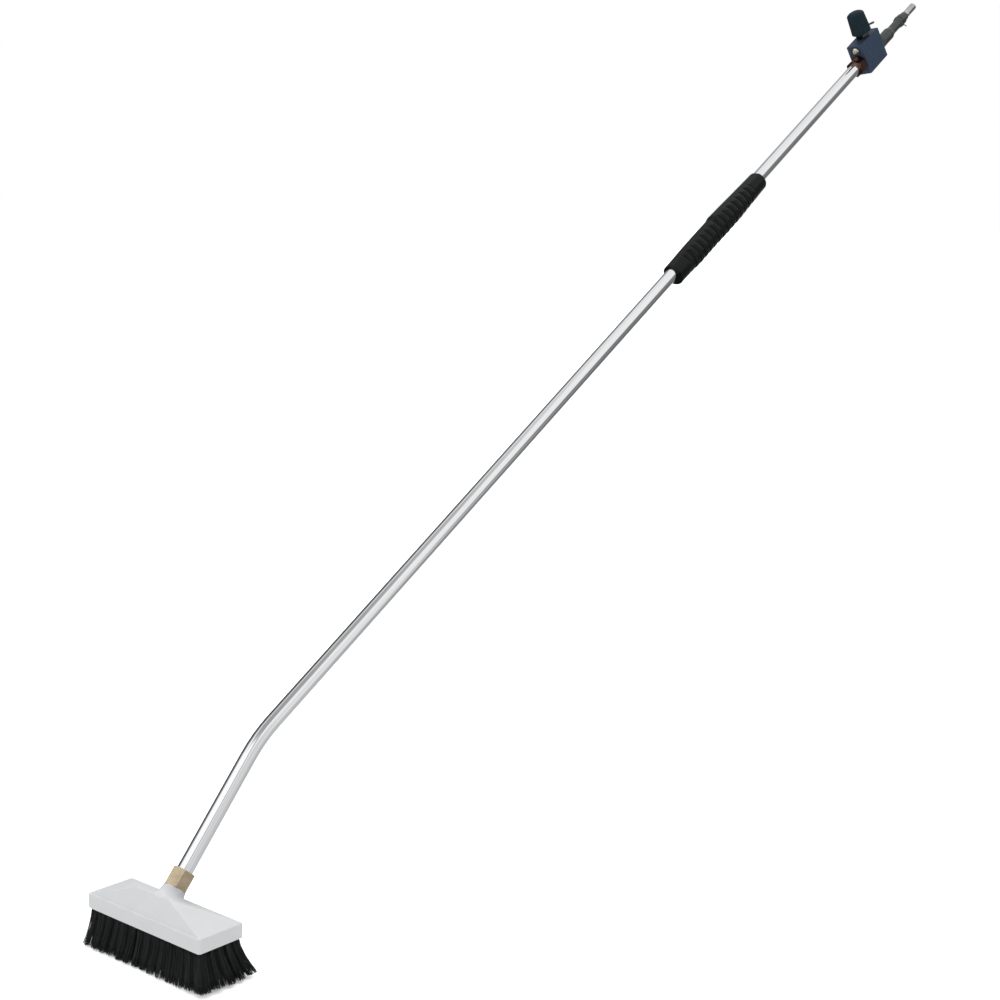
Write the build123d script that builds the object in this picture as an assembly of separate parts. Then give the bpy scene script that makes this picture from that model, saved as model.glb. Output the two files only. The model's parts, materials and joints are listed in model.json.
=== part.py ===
"""Water-fed washing lance: a wide brush head on a bent tube, with a ribbed grip, a regulating
valve and a hose nipple at the upper end. Millimetres, +Z up.

The brush stands flat with its bristle tips at Z = 0, its long side along X, and the lance rises
towards +Y. The origin is the middle of the bottom of the whole object's bounding box.

Two working axes carry everything above the brush: the lower axis starts in the middle of the
cover's top edge, and the upper axis starts where the two straight runs of the tube would meet.
"""

import os
from math import atan2, cos, degrees, pi, radians, sin, sqrt

from build123d import *

# Brush cover
COVER_LENGTH = 197.2
COVER_WIDTH = 66.8
COVER_WALL_HEIGHT = 17.6
COVER_WALL = 2.6
COVER_CORNER = 3.6
COVER_EDGE = 1.6
ROOF_INSET = 2.2
RIDGE_HALF = 27.3
RIDGE_Y = -17.3
RIDGE_Z = 23.3
ROOF_THICKNESS = 3.4
ROOF_EDGE = 2.0
NECK_RADIUS = 14.3
NECK_BORE = 7.0
NECK_COLLAR = 1.8
FLARE_HALF_X = 25.0
FLARE_HALF_Y = 22.5
FLARE_FORWARD = 0.8
FLARE_SINK = 0.5
FLARE_SHARES = (0.0, 0.35, 0.65, 0.85, 0.97, 1.0)

# Brush back, its seal and its screws
BACK_CLEARANCE = 0.3
BACK_THICKNESS = 9.0
BACK_RECESS = 0.8
GASKET_THICKNESS = 1.5
GASKET_WIDTH = 3.0
TUFT_COLUMNS = 14
TUFT_ROWS = 5
TUFT_PITCH_X = 13.8
TUFT_PITCH_Y = 12.4
TUFT_HOLE_RADIUS = 2.6
TUFT_HOLE_DEPTH = 6.0
ANCHOR_LENGTH = 4.6
ANCHOR_WIDTH = 1.8
ANCHOR_THICKNESS = 0.4
WATER_HOLE_RADIUS = 1.5
WATER_HOLE_COLUMNS = (1, 3, 5)
SCREW_COLUMNS = (-6, 0, 6)
SCREW_RADIUS = 1.9
SCREW_HEAD_RADIUS = 3.4
SCREW_HEAD_HEIGHT = 2.4
SCREW_LENGTH = 15.0
SCREW_POST_RADIUS = 4.0

# Bristles
BRISTLE_LENGTH = 46.0
BRISTLE_TOP_HALF_X = 95.2
BRISTLE_TIP_LEFT = 101.0
BRISTLE_TIP_RIGHT = 113.0
BRISTLE_FLARE_Y = 1.4
BRISTLE_TOP_HALF_Y = 5.1
BRISTLE_TIP_HALF_Y = 7.4

# Tube, along its two axes
TUBE_RADIUS = 10.0
TUBE_BORE = 8.5
LOWER_ANGLE = 49.17
UPPER_ANGLE = 32.43
BEND_RADIUS = 185.0
LOWER_NUT_START = 24.4
BEND_AT = 226.6
UPPER_NUT_START = 1613.5

# Union nuts and what they clamp
NUT_FLATS = 27.0
NUT_LENGTH = 22.8
UPPER_NUT_LENGTH = 20.0
NUT_CHAMFER = 1.0
NUT_THREAD_RADIUS = 12.05
SPIGOT_RADIUS = 12.0
SPIGOT_LENGTH = 12.0
NUT_SHOULDER = 6.0
UPPER_NUT_SHOULDER = 3.6
LOWER_NUT_TURN = 15.0
UPPER_NUT_TURN = 22.0
TUBE_FIT = 0.06
COLLAR_RADIUS = 11.6
COLLAR_LENGTH = 3.0
COLLAR_FIT = 0.03
FACE_GAP = 0.05
UNION_SEAL_THICKNESS = 1.5
UNION_SEAL_BORE = 8.0
INSERT_RADIUS = 11.0
INSERT_DEPTH = 13.0
ADAPTOR_SHANK_RADIUS = 8.3
ADAPTOR_SHANK_LENGTH = 13.0
ADAPTOR_BORE = 5.0

# Grip, set off the tube's axis towards the fingers
GRIP_START = 997.0
GRIP_LENGTH = 268.0
GRIP_BORE = 10.05
GRIP_OFFSET = 3.4
GRIP_LOWER_COLLAR = 27.0
GRIP_UPPER_COLLAR = 34.0
GRIP_LOWER_RADIUS = 16.8
GRIP_MIDDLE_RADIUS = 18.1
GRIP_UPPER_RADIUS = 15.6
GRIP_EDGE = 0.8
GRIP_STEP_AT = 131.0
GRIP_STEP = 1.1
GRIP_STEP_HALF_LENGTH = 5.0
RIB_COUNT = 15
GROOVE_HALF_WIDTH = 1.6
GROOVE_DEPTH = 2.4
GROOVE_SHIFT = 2.2
GROOVE_OUTER_RADIUS = 24.0

# Valve block: along the lance, towards the knob, and across
BLOCK_GAP = 0.5
BLOCK_LENGTH = 63.0
BLOCK_TOP = 31.8
BLOCK_BOTTOM = 21.2
BLOCK_HALF_ACROSS = 15.0
BLOCK_EDGE = 0.9
BLOCK_ROLL = -8.0
KNOB_ALONG = 35.5
INLET_DROP = 3.0
THREAD_CLEARANCE = 0.05
INLET_THREAD_DEPTH = 13.0
PASSAGE_RADIUS = 4.0
INLET_CHAMBER_RADIUS = 6.0
INLET_CHAMBER_DEPTH = 6.0
CROSS_DRILL_HEIGHT = 22.0
CROSS_DRILL_RADIUS = 2.5
SEAT_TOP = 10.0
SEAT_HEIGHT = 4.0
SEAT_RADIUS = 5.0
SEAT_BORE = 2.6
CHAMBER_RADIUS = 6.5
KEY_WIDTH = 2.0
KEY_REACH = 1.9
KEY_CLEARANCE = 0.3

# Port plug
PLUG_HEAD_RADIUS = 6.2
PLUG_HEAD_HEIGHT = 2.8
PLUG_DOME_RADIUS = 9.5
PLUG_SHANK_RADIUS = 4.8
PLUG_SHANK_LENGTH = 9.0
PLUG_SOCKET_FLATS = 4.0
PLUG_SOCKET_DEPTH = 3.2
PLUG_RING_RADIUS = 9.0
PLUG_RING_THICKNESS = 1.3
PLUG_RING_PROUD = 0.3

# Gland, spindle and needle, measured from the lance axis towards the knob
GLAND_BOTTOM = 26.4
GLAND_THREAD_RADIUS = 9.0
GLAND_HEAD_FLATS = 22.0
GLAND_HEAD_HEIGHT = 6.0
SPINDLE_RADIUS = 4.0
SPINDLE_FIT = 0.05
SPINDLE_COLLAR_RADIUS = 5.6
SPINDLE_COLLAR_HEIGHT = 1.6
SPINDLE_THREAD_RADIUS = 3.0
SPINDLE_END = 16.4
SPINDLE_TOP = 64.0
SEAL_SECTION = 1.0
SEAL_HEIGHT = 31.5
NEEDLE_RADIUS = 5.4
NEEDLE_TOP = 20.4
NEEDLE_SOCKET_END = 12.6
NEEDLE_SOCKET_RADIUS = 3.3
NEEDLE_TIP_RADIUS = 2.2
NEEDLE_SHOULDER = 10.3
NEEDLE_TIP = 7.6

# Knob and its pin
KNOB_BASE = 39.5
KNOB_HEIGHT = 37.7
KNOB_BASE_RADIUS = 16.7
KNOB_TOP_RADIUS = 14.7
KNOB_DOME = 4.0
KNOB_SKIRT_DEPTH = 5.0
KNOB_SKIRT_RADIUS = 13.7
KNOB_FLUTES = 12
FLUTE_RADIUS = 5.0
FLUTE_DEPTH = 0.9
PIN_HEIGHT = 7.5
PIN_RADIUS = 1.75
PIN_HOLE_RADIUS = 1.8
PIN_INNER = 2.6
PIN_OUTER = 25.0
PIN_TURN = 40.0
PIN_END_RADIUS = 0.6

# Inlet, measured from the block's far face
INLET_BODY_RADIUS = 10.35
INLET_BODY_LENGTH = 51.0
INLET_HEX_FLATS = 19.0
INLET_HEX_LENGTH = 13.0
INLET_SEAL_THICKNESS = 1.6
SLEEVE_RADIUS = 7.8
SLEEVE_NECK_LENGTH = 31.0
SLEEVE_BULGE_RADIUS = 9.25
SLEEVE_BULGE_LENGTH = 18.0
SLEEVE_SHOULDER_RADIUS = 8.0
SLEEVE_SHOULDER_END_RADIUS = 7.4
SLEEVE_SHOULDER_LENGTH = 9.6
SOCKET_DEPTH = 14.0
NIPPLE_RADIUS = 6.15
NIPPLE_BORE = 4.2
NIPPLE_LENGTH = 35.5
NIPPLE_END_CHAMFER = 1.4
NIPPLE_GROOVE = 0.7
CLIP_WIRE_RADIUS = 0.8
CLIP_TAIL = 6.0
CLIP_TURN = 45.0
CLIP_ALONG = 7.0


def turned(*outline):
    """Solid of revolution about Z through (radius, height) points."""
    points = [(radius, 0, height) for radius, height in outline]
    return revolve(make_face(Polyline(*points, close=True)), Axis.Z)


def ring(outer, inner, low, high):
    """Plain ring about Z."""
    return turned((inner, low), (outer, low), (outer, high), (inner, high))


def rod(radius, low, high):
    """Plain cylinder about Z between two heights."""
    return Pos(0, 0, low) * Cylinder(radius, high - low, align=(Align.CENTER, Align.CENTER, Align.MIN))


def hexagon(flats, low, high, turn=0.0, chamfer_size=NUT_CHAMFER):
    """Hexagonal prism about Z with its corners chamfered at both ends."""
    profile = RegularPolygon(flats / 2, 6, major_radius=False, rotation=turn)
    prism = Pos(0, 0, low) * extrude(profile, high - low)
    corner = flats / 2 / cos(radians(30))
    small = corner - 2 * chamfer_size
    limit = turned(
        (0, low), (small, low), (corner, low + chamfer_size), (corner, high - chamfer_size),
        (small, high), (0, high),
    )
    return prism & limit


def o_ring(inner, section_radius, height):
    """Round seal about Z."""
    return Pos(0, 0, height) * Torus(inner + section_radius, section_radius)


def polyhedron(points, faces):
    """Closed solid from corner points and the corner numbers of each flat face."""
    sides = [Face(Wire.make_polygon([points[i] for i in face], close=True)) for face in faces]
    return Solid(Shell(sides))


def frustum(low_box, low_z, high_box, high_z):
    """Closed solid between two flat rectangles, each given as (x0, x1, y0, y1)."""
    corners = []
    for (x0, x1, y0, y1), z in ((low_box, low_z), (high_box, high_z)):
        corners += [(x0, y0, z), (x1, y0, z), (x1, y1, z), (x0, y1, z)]
    walls = [(i, (i + 1) % 4, (i + 1) % 4 + 4, i + 4) for i in range(4)]
    return polyhedron(corners, [(3, 2, 1, 0), (4, 5, 6, 7), *walls])


# The two working axes, and the frames of the valve block and of its knob
lower_dir = Vector(0, cos(radians(LOWER_ANGLE)), sin(radians(LOWER_ANGLE)))
upper_dir = Vector(0, cos(radians(UPPER_ANGLE)), sin(radians(UPPER_ANGLE)))
lower_axis = Plane(origin=(0, 0, 0), x_dir=(1, 0, 0), z_dir=lower_dir)
bend_point = lower_dir * BEND_AT
upper_axis = Plane(origin=bend_point, x_dir=(1, 0, 0), z_dir=upper_dir)
valve_start = UPPER_NUT_START + UPPER_NUT_LENGTH + BLOCK_GAP
valve_frame = upper_axis.location * Pos(0, 0, valve_start) * Rot(0, 0, BLOCK_ROLL)
knob_frame = valve_frame * Pos(0, 0, KNOB_ALONG) * Rot(90, 0, 0)
pin_frame = Pos(0, 0, KNOB_BASE + PIN_HEIGHT) * Rot(0, 0, PIN_TURN) * Rot(0, 90, 0)
inlet_frame = valve_frame * Pos(0, INLET_DROP, BLOCK_LENGTH)

# Where the stacked pieces of the brush and of the unions meet
back_low = -COVER_WALL_HEIGHT + BACK_RECESS
back_high = back_low + BACK_THICKNESS
ledge = back_high + GASKET_THICKNESS
spigot_end = LOWER_NUT_START + SPIGOT_LENGTH
lower_tube_end = spigot_end + UNION_SEAL_THICKNESS + FACE_GAP
upper_tube_end = UPPER_NUT_START + UPPER_NUT_SHOULDER + COLLAR_LENGTH + FACE_GAP
upper_seal_start = upper_tube_end + FACE_GAP
bristle_tip = -COVER_WALL_HEIGHT - BRISTLE_LENGTH


def tuft_places():
    """Centre of every tuft, in the brush frame."""
    for column in range(TUFT_COLUMNS):
        for row in range(TUFT_ROWS):
            x = (column - (TUFT_COLUMNS - 1) / 2) * TUFT_PITCH_X
            yield x, (row - (TUFT_ROWS - 1) / 2) * TUFT_PITCH_Y


def screw_places():
    """Screws stand between the tufts, in two rows."""
    for column in SCREW_COLUMNS:
        for side in (-1, 1):
            yield column * TUFT_PITCH_X, side * 1.5 * TUFT_PITCH_Y


def water_places():
    """Water holes stand between the tufts beside the middle row."""
    for column in WATER_HOLE_COLUMNS:
        for side_x in (-1, 1):
            for side_y in (-1, 1):
                yield side_x * column * TUFT_PITCH_X, side_y * 0.5 * TUFT_PITCH_Y


def roof(inset, drop):
    """Hipped roof with its ridge towards the front, set in and down by a wall thickness."""
    half_x = COVER_LENGTH / 2 - inset
    half_y = COVER_WIDTH / 2 - inset
    points = [
        (-half_x, -half_y, -drop), (half_x, -half_y, -drop), (half_x, half_y, -drop),
        (-half_x, half_y, -drop), (-RIDGE_HALF, RIDGE_Y, RIDGE_Z - drop),
        (RIDGE_HALF, RIDGE_Y, RIDGE_Z - drop),
    ]
    return polyhedron(points, [(3, 2, 1, 0), (0, 1, 5, 4), (1, 2, 5), (2, 3, 4, 5), (3, 0, 4)])


def cover_outside():
    """Rim, roof and flared neck, without any hollow."""
    rim = Pos(0, 0, -COVER_WALL_HEIGHT / 2) * Box(COVER_LENGTH, COVER_WIDTH, COVER_WALL_HEIGHT)
    rim = fillet(rim.edges().filter_by(Axis.Z), COVER_CORNER)
    rim = fillet(rim.edges().group_by(Axis.Z)[-1], COVER_EDGE)
    top = roof(ROOF_INSET, 0)
    top = fillet(top.edges().filter_by(lambda edge: edge.bounding_box().max.Z > 1), ROOF_EDGE)
    neck = lower_axis.location * rod(NECK_RADIUS, 0, LOWER_NUT_START)
    return rim + top + neck_flare() + neck


def neck_flare():
    """Concave flare from the neck's collar out on to the roof's rear slope."""
    slope = atan2(RIDGE_Z, COVER_WIDTH / 2 - ROOF_INSET - RIDGE_Y)
    foot_height = (COVER_WIDTH / 2 - ROOF_INSET) * sin(slope)
    foot_along = foot_height / sin(slope + radians(LOWER_ANGLE))
    collar_along = LOWER_NUT_START - NECK_COLLAR
    sections = []
    for share in FLARE_SHARES:
        spread = 1 - sqrt(1 - share * share)
        tilt = (1 - share) * radians(LOWER_ANGLE) + share * (pi / 2 - slope)
        along = (1 - share) * collar_along + share * (foot_along - FLARE_SINK)
        plane = Plane(
            origin=lower_dir * along, x_dir=(1, 0, 0), z_dir=(0, cos(tilt), sin(tilt))
        )
        outline = Ellipse(
            NECK_RADIUS + spread * (FLARE_HALF_X - NECK_RADIUS),
            NECK_RADIUS + spread * (FLARE_HALF_Y - NECK_RADIUS),
        )
        sections.append(plane * Pos(0, -share * FLARE_FORWARD, 0) * outline)
    return loft(sections)


def brush_cover():
    """Moulded cover: rim, hollow roof, neck with the insert's seat, and the screw posts."""
    outside = cover_outside()
    inner = COVER_WALL + GASKET_WIDTH
    recess = frustum(
        (-COVER_LENGTH / 2 + COVER_WALL, COVER_LENGTH / 2 - COVER_WALL,
         -COVER_WIDTH / 2 + COVER_WALL, COVER_WIDTH / 2 - COVER_WALL), -COVER_WALL_HEIGHT - 1,
        (-COVER_LENGTH / 2 + COVER_WALL, COVER_LENGTH / 2 - COVER_WALL,
         -COVER_WIDTH / 2 + COVER_WALL, COVER_WIDTH / 2 - COVER_WALL), ledge,
    )
    half_x = COVER_LENGTH / 2 - inner
    half_y = COVER_WIDTH / 2 - inner
    chamber = frustum((-half_x, half_x, -half_y, half_y), ledge, (-half_x, half_x, -half_y, half_y),
                      -ROOF_THICKNESS) + roof(inner, ROOF_THICKNESS)
    neck_core = lower_axis.location * rod(NECK_RADIUS, LOWER_NUT_START - INSERT_DEPTH - 4, LOWER_NUT_START)
    posts = [Pos(x, y, 0) * rod(SCREW_POST_RADIUS, ledge, RIDGE_Z) for x, y in screw_places()]
    cover = outside - recess - chamber
    cover = cover + ((neck_core + posts) & outside)
    cover -= lower_axis.location * rod(NECK_BORE, -1, LOWER_NUT_START + 1)
    cover -= lower_axis.location * rod(
        INSERT_RADIUS + THREAD_CLEARANCE, LOWER_NUT_START - INSERT_DEPTH, LOWER_NUT_START + 1
    )
    for x, y in screw_places():
        pilot_top = back_low + SCREW_HEAD_HEIGHT + SCREW_LENGTH + 0.5
        cover -= Pos(x, y, 0) * rod(SCREW_RADIUS + THREAD_CLEARANCE, ledge - 1, pilot_top)
    return cover


def back_outline(inset):
    """Flat outline of the brush back, set in from the cover's wall."""
    length = COVER_LENGTH - 2 * (COVER_WALL + inset)
    width = COVER_WIDTH - 2 * (COVER_WALL + inset)
    return Rectangle(length, width)


def brush_back():
    """Drilled board that holds the tufts, with water holes and recessed screw heads."""
    board = Pos(0, 0, back_low) * extrude(back_outline(BACK_CLEARANCE), BACK_THICKNESS)
    board = chamfer(board.edges().filter_by(Axis.Z), 1.5)
    tools = [Pos(x, y, 0) * rod(TUFT_HOLE_RADIUS, back_low - 1, back_low + TUFT_HOLE_DEPTH)
             for x, y in tuft_places()]
    tools += [Pos(x, y, 0) * rod(WATER_HOLE_RADIUS, back_low - 1, back_high + 1)
              for x, y in water_places()]
    for x, y in screw_places():
        tools.append(Pos(x, y, 0) * rod(SCREW_RADIUS + 0.3, back_low - 1, back_high + 1))
        head_top = back_low + SCREW_HEAD_HEIGHT
        tools.append(Pos(x, y, 0) * rod(SCREW_HEAD_RADIUS + 0.3, back_low - 1, head_top))
    return board - tools


def cover_gasket():
    """Flat rubber seal between the board and the cover's ledge."""
    outer = extrude(back_outline(BACK_CLEARANCE), GASKET_THICKNESS)
    hole = extrude(back_outline(GASKET_WIDTH), GASKET_THICKNESS)
    posts = [Pos(x, y, 0) * rod(SCREW_POST_RADIUS, 0, GASKET_THICKNESS) for x, y in screw_places()]
    holes = [Pos(x, y, 0) * rod(SCREW_RADIUS + 0.3, -1, GASKET_THICKNESS + 1)
             for x, y in screw_places()]
    gasket = outer - hole
    pads = [post & outer for post in posts]
    solids = [Pos(0, 0, back_high) * (gasket - holes)]
    solids += [Pos(0, 0, back_high) * (pad - gasket - holes) for pad in pads]
    return solids


def plate_screws():
    """Pan-head screws that hold the board in the cover."""
    solids = []
    for x, y in screw_places():
        screw = turned(
            (0, back_low), (SCREW_HEAD_RADIUS - 0.8, back_low), (SCREW_HEAD_RADIUS, back_low + 0.8),
            (SCREW_HEAD_RADIUS, back_low + SCREW_HEAD_HEIGHT),
            (SCREW_RADIUS, back_low + SCREW_HEAD_HEIGHT),
            (SCREW_RADIUS, back_low + SCREW_HEAD_HEIGHT + SCREW_LENGTH - 1.5),
            (0.4, back_low + SCREW_HEAD_HEIGHT + SCREW_LENGTH),
            (0, back_low + SCREW_HEAD_HEIGHT + SCREW_LENGTH),
        )
        slots = Box(4.2, 0.8, 2.4) + Box(0.8, 4.2, 2.4)
        solids.append(Pos(x, y, 0) * (screw - Pos(0, 0, back_low) * slots))
    return solids


def tuft_anchors():
    """Wire anchors pressed across the bottom of every tuft hole."""
    top = back_low + TUFT_HOLE_DEPTH - 0.4
    anchor = Box(ANCHOR_LENGTH, ANCHOR_THICKNESS, ANCHOR_WIDTH)
    return [Pos(x, y, top - ANCHOR_WIDTH / 2) * anchor for x, y in tuft_places()]


def bristle_row(row):
    """One row of tufts as a plain strip that fans out towards the tips."""
    y = (row - (TUFT_ROWS - 1) / 2) * TUFT_PITCH_Y
    tip_y = y * BRISTLE_FLARE_Y
    root = (-BRISTLE_TOP_HALF_X, BRISTLE_TOP_HALF_X, y - BRISTLE_TOP_HALF_Y, y + BRISTLE_TOP_HALF_Y)
    tip = (-BRISTLE_TIP_LEFT, BRISTLE_TIP_RIGHT, tip_y - BRISTLE_TIP_HALF_Y,
           tip_y + BRISTLE_TIP_HALF_Y)
    return frustum(tip, bristle_tip, root, back_low)


def neck_insert():
    """Threaded brass insert moulded into the cover's neck."""
    low = LOWER_NUT_START - INSERT_DEPTH
    return lower_axis.location * turned(
        (NECK_BORE, low), (INSERT_RADIUS, low), (INSERT_RADIUS, LOWER_NUT_START - 1),
        (SPIGOT_RADIUS - 1, LOWER_NUT_START), (SPIGOT_RADIUS, LOWER_NUT_START),
        (SPIGOT_RADIUS, spigot_end - 1), (SPIGOT_RADIUS - 1, spigot_end), (NECK_BORE, spigot_end),
    )


def union_nut(length, shoulder, turn):
    """Hexagon nut: a threaded bore, and a shoulder at its far end that the tube runs through."""
    body = hexagon(NUT_FLATS, 0, length, turn)
    body -= rod(NUT_THREAD_RADIUS, -1, length - shoulder)
    return body - rod(TUBE_RADIUS + TUBE_FIT, -1, length + 1)


def lower_union_nut():
    """Nut on the brush's neck; the tube turns in its shoulder."""
    return lower_axis.location * Pos(0, 0, LOWER_NUT_START + FACE_GAP) * union_nut(
        NUT_LENGTH, NUT_SHOULDER, LOWER_NUT_TURN
    )


def upper_union_nut():
    """Nut on the valve block's adaptor, the other way round."""
    top = UPPER_NUT_START + UPPER_NUT_LENGTH
    return upper_axis.location * Pos(0, 0, top) * Rot(180, 0, 0) * union_nut(
        UPPER_NUT_LENGTH, UPPER_NUT_SHOULDER, -UPPER_NUT_TURN
    )


def lower_union_seal():
    """Flat seal between the insert and the tube."""
    return lower_axis.location * ring(
        COLLAR_RADIUS - 0.2, UNION_SEAL_BORE, spigot_end, spigot_end + UNION_SEAL_THICKNESS
    )


def upper_union_seal():
    """Flat seal between the tube and the valve's adaptor."""
    return upper_axis.location * ring(
        COLLAR_RADIUS - 0.2, UNION_SEAL_BORE, upper_seal_start,
        upper_seal_start + UNION_SEAL_THICKNESS,
    )


def tube_collar():
    """Brazed collar that a union nut pulls on."""
    return ring(COLLAR_RADIUS, TUBE_RADIUS + COLLAR_FIT, 0, COLLAR_LENGTH)


def lower_tube_collar():
    """Collar on the brush end of the tube."""
    return lower_axis.location * Pos(0, 0, lower_tube_end) * tube_collar()


def upper_tube_collar():
    """Collar on the valve end of the tube."""
    return upper_axis.location * Pos(0, 0, upper_tube_end - COLLAR_LENGTH) * tube_collar()


def lance_tube():
    """One tube with a gentle bend above the brush."""
    start = lower_dir * lower_tube_end
    end = bend_point + upper_dir * upper_tube_end
    path = FilletPolyline(start, bend_point, end, radius=BEND_RADIUS)
    section = Plane(origin=start, x_dir=(1, 0, 0), z_dir=lower_dir) * (
        Circle(TUBE_RADIUS) - Circle(TUBE_BORE)
    )
    return sweep(section, path=path)


def grip_outline():
    """Places along the grip and the radius there, from end to end."""
    ribs_end = GRIP_LENGTH - GRIP_UPPER_COLLAR
    return (
        (0, GRIP_LOWER_RADIUS - GRIP_EDGE),
        (GRIP_EDGE, GRIP_LOWER_RADIUS),
        (GRIP_LOWER_COLLAR, GRIP_LOWER_RADIUS),
        (GRIP_STEP_AT - GRIP_STEP_HALF_LENGTH, GRIP_MIDDLE_RADIUS),
        (GRIP_STEP_AT + GRIP_STEP_HALF_LENGTH, GRIP_MIDDLE_RADIUS + GRIP_STEP),
        (ribs_end, GRIP_UPPER_RADIUS),
        (GRIP_LENGTH - GRIP_EDGE, GRIP_UPPER_RADIUS),
        (GRIP_LENGTH, GRIP_UPPER_RADIUS - GRIP_EDGE),
    )


def grip_radius(place):
    """Radius of the grip's outside at one place along it."""
    outline = grip_outline()
    for (low, low_radius), (high, high_radius) in zip(outline, outline[1:]):
        if low <= place <= high:
            return low_radius + (high_radius - low_radius) * (place - low) / (high - low)


def grip_groove(place):
    """Ring that cuts a groove on the finger side only, because it is set off towards the palm."""
    inner = grip_radius(place) - GROOVE_DEPTH + GROOVE_SHIFT
    cutter = ring(GROOVE_OUTER_RADIUS, inner, place - GROOVE_HALF_WIDTH, place + GROOVE_HALF_WIDTH)
    return Pos(0, -GROOVE_SHIFT, 0) * cutter


def grip():
    """Rubber sleeve with plain ends, a palm step in the middle and ribs under the fingers."""
    profile = [(radius, place) for place, radius in grip_outline()]
    body = turned((0, 0), *profile, (0, GRIP_LENGTH))
    pitch = (GRIP_LENGTH - GRIP_LOWER_COLLAR - GRIP_UPPER_COLLAR) / RIB_COUNT
    body -= [grip_groove(GRIP_LOWER_COLLAR + i * pitch) for i in range(1, RIB_COUNT)]
    body = Pos(0, GRIP_OFFSET, 0) * body - rod(GRIP_BORE, -1, GRIP_LENGTH + 1)
    return upper_axis.location * Pos(0, 0, GRIP_START) * body


def valve_adaptor():
    """Threaded brass adaptor between the upper union nut and the block."""
    start = upper_seal_start + UNION_SEAL_THICKNESS
    end = valve_start + ADAPTOR_SHANK_LENGTH
    return upper_axis.location * turned(
        (ADAPTOR_BORE, start), (SPIGOT_RADIUS - 1, start), (SPIGOT_RADIUS, start + 1),
        (SPIGOT_RADIUS, valve_start), (ADAPTOR_SHANK_RADIUS, valve_start),
        (ADAPTOR_SHANK_RADIUS, end - 1), (ADAPTOR_SHANK_RADIUS - 1, end), (ADAPTOR_BORE, end),
    )


def towards_knob(low, high, radius):
    """Drilling on the knob's axis, in the block's frame."""
    return Pos(0, 0, KNOB_ALONG) * Rot(90, 0, 0) * rod(radius, low, high)


def needle_key(low, high, grow):
    """Key on the needle, or the keyway it slides in, on the knob's axis."""
    width = KEY_WIDTH + 2 * grow
    reach = NEEDLE_RADIUS + KEY_REACH + grow
    return Pos(reach / 2, 0, (low + high) / 2) * Box(reach, width, high - low)


def valve_block():
    """Drilled block: outlet towards the tube, inlet, cross drilling and the valve chamber."""
    height = BLOCK_TOP + BLOCK_BOTTOM
    middle = (BLOCK_BOTTOM - BLOCK_TOP) / 2
    block = Pos(0, middle, BLOCK_LENGTH / 2) * Box(2 * BLOCK_HALF_ACROSS, height, BLOCK_LENGTH)
    block = chamfer(block.edges(), BLOCK_EDGE)
    inlet_bottom = BLOCK_LENGTH - INLET_THREAD_DEPTH
    riser_at = inlet_bottom - INLET_CHAMBER_DEPTH / 2
    riser_depth = CROSS_DRILL_HEIGHT
    block -= rod(ADAPTOR_SHANK_RADIUS + THREAD_CLEARANCE, -1, ADAPTOR_SHANK_LENGTH + 0.5)
    block -= rod(PASSAGE_RADIUS, 0, KNOB_ALONG + PASSAGE_RADIUS)
    inlet_thread = rod(ADAPTOR_SHANK_RADIUS + THREAD_CLEARANCE, inlet_bottom, BLOCK_LENGTH + 1)
    inlet_chamber = rod(INLET_CHAMBER_RADIUS, inlet_bottom - INLET_CHAMBER_DEPTH, inlet_bottom + 1)
    block -= Pos(0, INLET_DROP, 0) * (inlet_thread + inlet_chamber)
    block -= Pos(0, -CROSS_DRILL_HEIGHT, 0) * rod(CROSS_DRILL_RADIUS, -1, riser_at)
    block -= Pos(0, 0, riser_at) * Rot(90, 0, 0) * rod(CROSS_DRILL_RADIUS, 0, riser_depth)
    block -= Pos(0, -CROSS_DRILL_HEIGHT, 0) * rod(
        PLUG_SHANK_RADIUS + THREAD_CLEARANCE, -1, PLUG_SHANK_LENGTH + 1
    )
    ring_depth = PLUG_RING_THICKNESS - PLUG_RING_PROUD
    block -= Pos(0, -CROSS_DRILL_HEIGHT, 0) * rod(
        PLUG_RING_RADIUS + THREAD_CLEARANCE, -1, ring_depth
    )
    block -= towards_knob(GLAND_BOTTOM, BLOCK_TOP + 1, GLAND_THREAD_RADIUS + THREAD_CLEARANCE)
    block -= towards_knob(SEAT_TOP, GLAND_BOTTOM + 1, CHAMBER_RADIUS)
    block -= towards_knob(SEAT_TOP - SEAT_HEIGHT, SEAT_TOP + 1, SEAT_RADIUS + THREAD_CLEARANCE)
    block -= towards_knob(0, SEAT_TOP, SEAT_BORE)
    keyway = needle_key(SEAT_TOP, GLAND_BOTTOM, KEY_CLEARANCE)
    block -= Pos(0, 0, KNOB_ALONG) * Rot(90, 0, 0) * keyway
    return valve_frame * block


def port_plug():
    """Screw plug with a domed head that closes the cross drilling."""
    dome = Pos(0, 0, PLUG_DOME_RADIUS - PLUG_HEAD_HEIGHT) * Sphere(PLUG_DOME_RADIUS)
    head = rod(PLUG_HEAD_RADIUS, -PLUG_HEAD_HEIGHT, 0) & dome
    plug = head + rod(PLUG_SHANK_RADIUS, 0, PLUG_SHANK_LENGTH)
    socket = RegularPolygon(PLUG_SOCKET_FLATS / 2, 6, major_radius=False)
    plug -= Pos(0, 0, -PLUG_HEAD_HEIGHT) * extrude(socket, PLUG_SOCKET_DEPTH)
    return valve_frame * Pos(0, -CROSS_DRILL_HEIGHT, -PLUG_RING_PROUD) * plug


def port_seal():
    """Dark sealing ring round the plug."""
    low = -PLUG_RING_PROUD
    bore = PLUG_SHANK_RADIUS + THREAD_CLEARANCE
    seal = ring(PLUG_RING_RADIUS, bore, low, low + PLUG_RING_THICKNESS)
    return valve_frame * Pos(0, -CROSS_DRILL_HEIGHT, 0) * seal


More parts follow.
